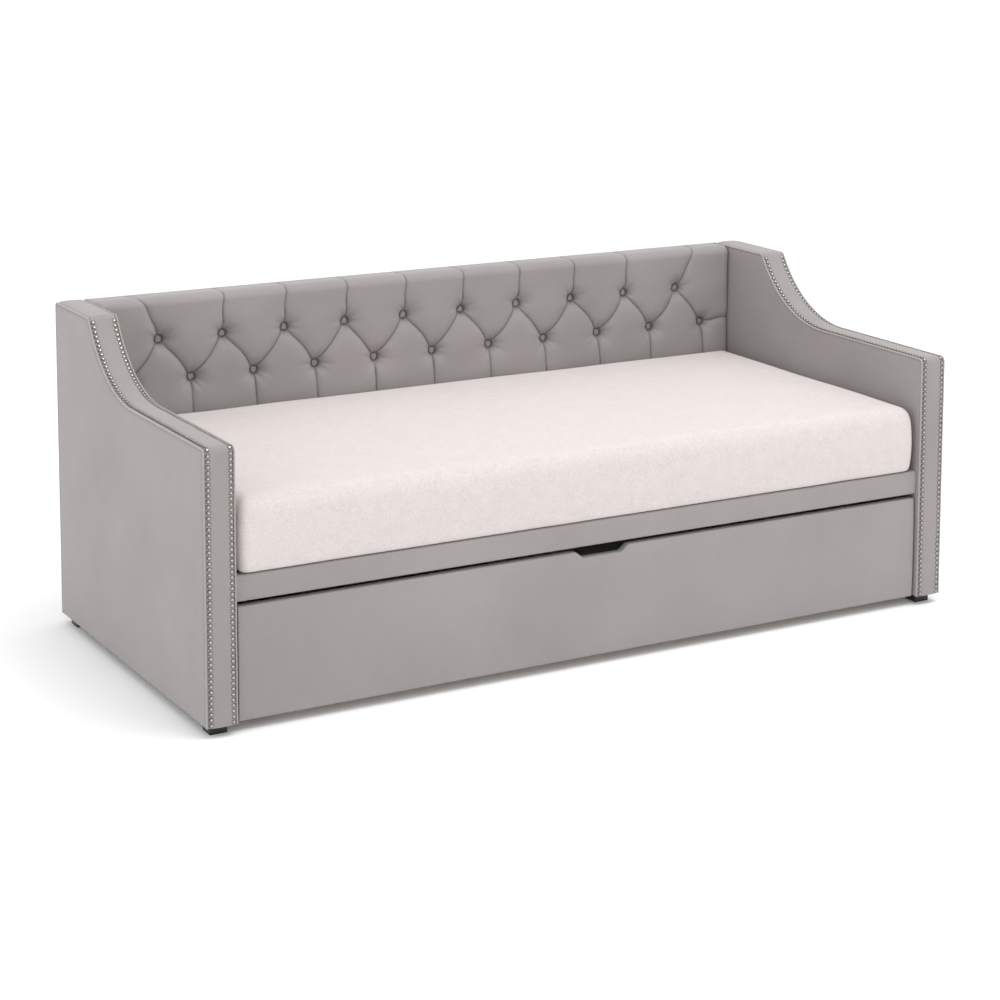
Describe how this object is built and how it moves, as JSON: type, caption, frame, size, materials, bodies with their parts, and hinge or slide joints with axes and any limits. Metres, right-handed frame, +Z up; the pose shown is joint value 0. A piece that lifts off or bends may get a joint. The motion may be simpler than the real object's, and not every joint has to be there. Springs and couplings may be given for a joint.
{
  "type": "daybed with trundle",
  "caption": "Upholstered daybed with swept nail-trimmed arms, a button-tufted back, a slatted base with a mattress, and a low trundle bed on casters that rolls out from under the front rail.",
  "frame": {"origin": "on the floor, under the middle of the whole daybed with the trundle pushed in", "axes": "+X along the bed to the right seen from the front, -Y to the front where the trundle comes out, +Z up"},
  "size_m": [2.106, 1, 0.848],
  "materials": {
    "upholstery_fabric": "soft matt woven velvet, warm light grey",
    "plain_timber": "plain sanded softwood",
    "mattress_knit": "soft white quilted knit with a faint mottle",
    "nail_metal": "polished pewter-coloured domes",
    "dark_foot": "near-black satin paint on timber",
    "dust_cloth": "thin black non-woven cloth",
    "twine": "waxed twine and fibre toggles",
    "webbing": "black woven tape",
    "zinc_steel": "dull zinc plate",
    "bumper_felt": "soft black rubber",
    "wheel_hub": "black nylon",
    "wheel_tyre": "dark grey soft rubber"
  },
  "bodies": {
    "daybed": {"left_arm_frame": "plain_timber", "left_arm_outer_panel": "upholstery_fabric", "left_arm_inner_panel": "upholstery_fabric", "left_arm_band": "upholstery_fabric", "left_arm_welts": "upholstery_fabric", "left_arm_nail_heads": "nail_metal", "left_arm_feet": "dark_foot", "left_arm_dust_cover": "dust_cloth", "right_arm_frame": "plain_timber", "right_arm_outer_panel": "upholstery_fabric", "right_arm_inner_panel": "upholstery_fabric", "right_arm_band": "upholstery_fabric", "right_arm_welts": "upholstery_fabric", "right_arm_nail_heads": "nail_metal", "right_arm_feet": "dark_foot", "right_arm_dust_cover": "dust_cloth", "back_frame": "plain_timber", "back_board": "plain_timber", "back_cushion": "upholstery_fabric", "back_buttons": "upholstery_fabric", "button_ties": "twine", "rear_cover": "upholstery_fabric", "front_rail": "plain_timber", "front_rail_cover": "upholstery_fabric", "front_ledger": "plain_timber", "rear_ledger": "plain_timber", "bed_slats": "plain_timber", "slat_webbing": "webbing", "bed_brackets": "zinc_steel", "bed_bracket_screws": "zinc_steel", "mattress": "mattress_knit"},
    "trundle": {"trundle_front": "plain_timber", "trundle_front_cover": "upholstery_fabric", "trundle_left_rail": "plain_timber", "trundle_right_rail": "plain_timber", "trundle_rear_rail": "plain_timber", "trundle_ledgers": "plain_timber", "trundle_slats": "plain_timber", "trundle_brackets": "zinc_steel", "trundle_bracket_screws": "zinc_steel", "trundle_bumpers": "bumper_felt", "trundle_mattress": "mattress_knit", "caster_boards": "plain_timber", "caster_forks": "zinc_steel", "caster_screws": "zinc_steel", "caster_axles": "zinc_steel"},
    "front_left_wheel": {"front_left_hub": "wheel_hub", "front_left_tyre": "wheel_tyre"},
    "front_right_wheel": {"front_right_hub": "wheel_hub", "front_right_tyre": "wheel_tyre"},
    "rear_left_wheel": {"rear_left_hub": "wheel_hub", "rear_left_tyre": "wheel_tyre"},
    "rear_right_wheel": {"rear_right_hub": "wheel_hub", "rear_right_tyre": "wheel_tyre"}
  },
  "joints": [
    {"name": "trundle_slide", "type": "slide", "parent": "daybed", "child": "trundle", "axis": [0, -1, 0], "range_m": [0, 1.05]},
    {"name": "front_left_roll", "type": "hinge", "parent": "trundle", "child": "front_left_wheel", "pos_m": [-0.902, -0.409, 0.025], "axis": [1, 0, 0], "continuous": true},
    {"name": "front_right_roll", "type": "hinge", "parent": "trundle", "child": "front_right_wheel", "pos_m": [0.902, -0.409, 0.025], "axis": [1, 0, 0], "continuous": true},
    {"name": "rear_left_roll", "type": "hinge", "parent": "trundle", "child": "rear_left_wheel", "pos_m": [-0.902, 0.386, 0.025], "axis": [1, 0, 0], "continuous": true},
    {"name": "rear_right_roll", "type": "hinge", "parent": "trundle", "child": "rear_right_wheel", "pos_m": [0.902, 0.386, 0.025], "axis": [1, 0, 0], "continuous": true}
  ],
  "couplings": [
    {"joint": "front_left_roll", "follows": "trundle_slide", "rad_per_m": 40},
    {"joint": "front_right_roll", "follows": "trundle_slide", "rad_per_m": 40},
    {"joint": "rear_left_roll", "follows": "trundle_slide", "rad_per_m": 40},
    {"joint": "rear_right_roll", "follows": "trundle_slide", "rad_per_m": 40}
  ]
}
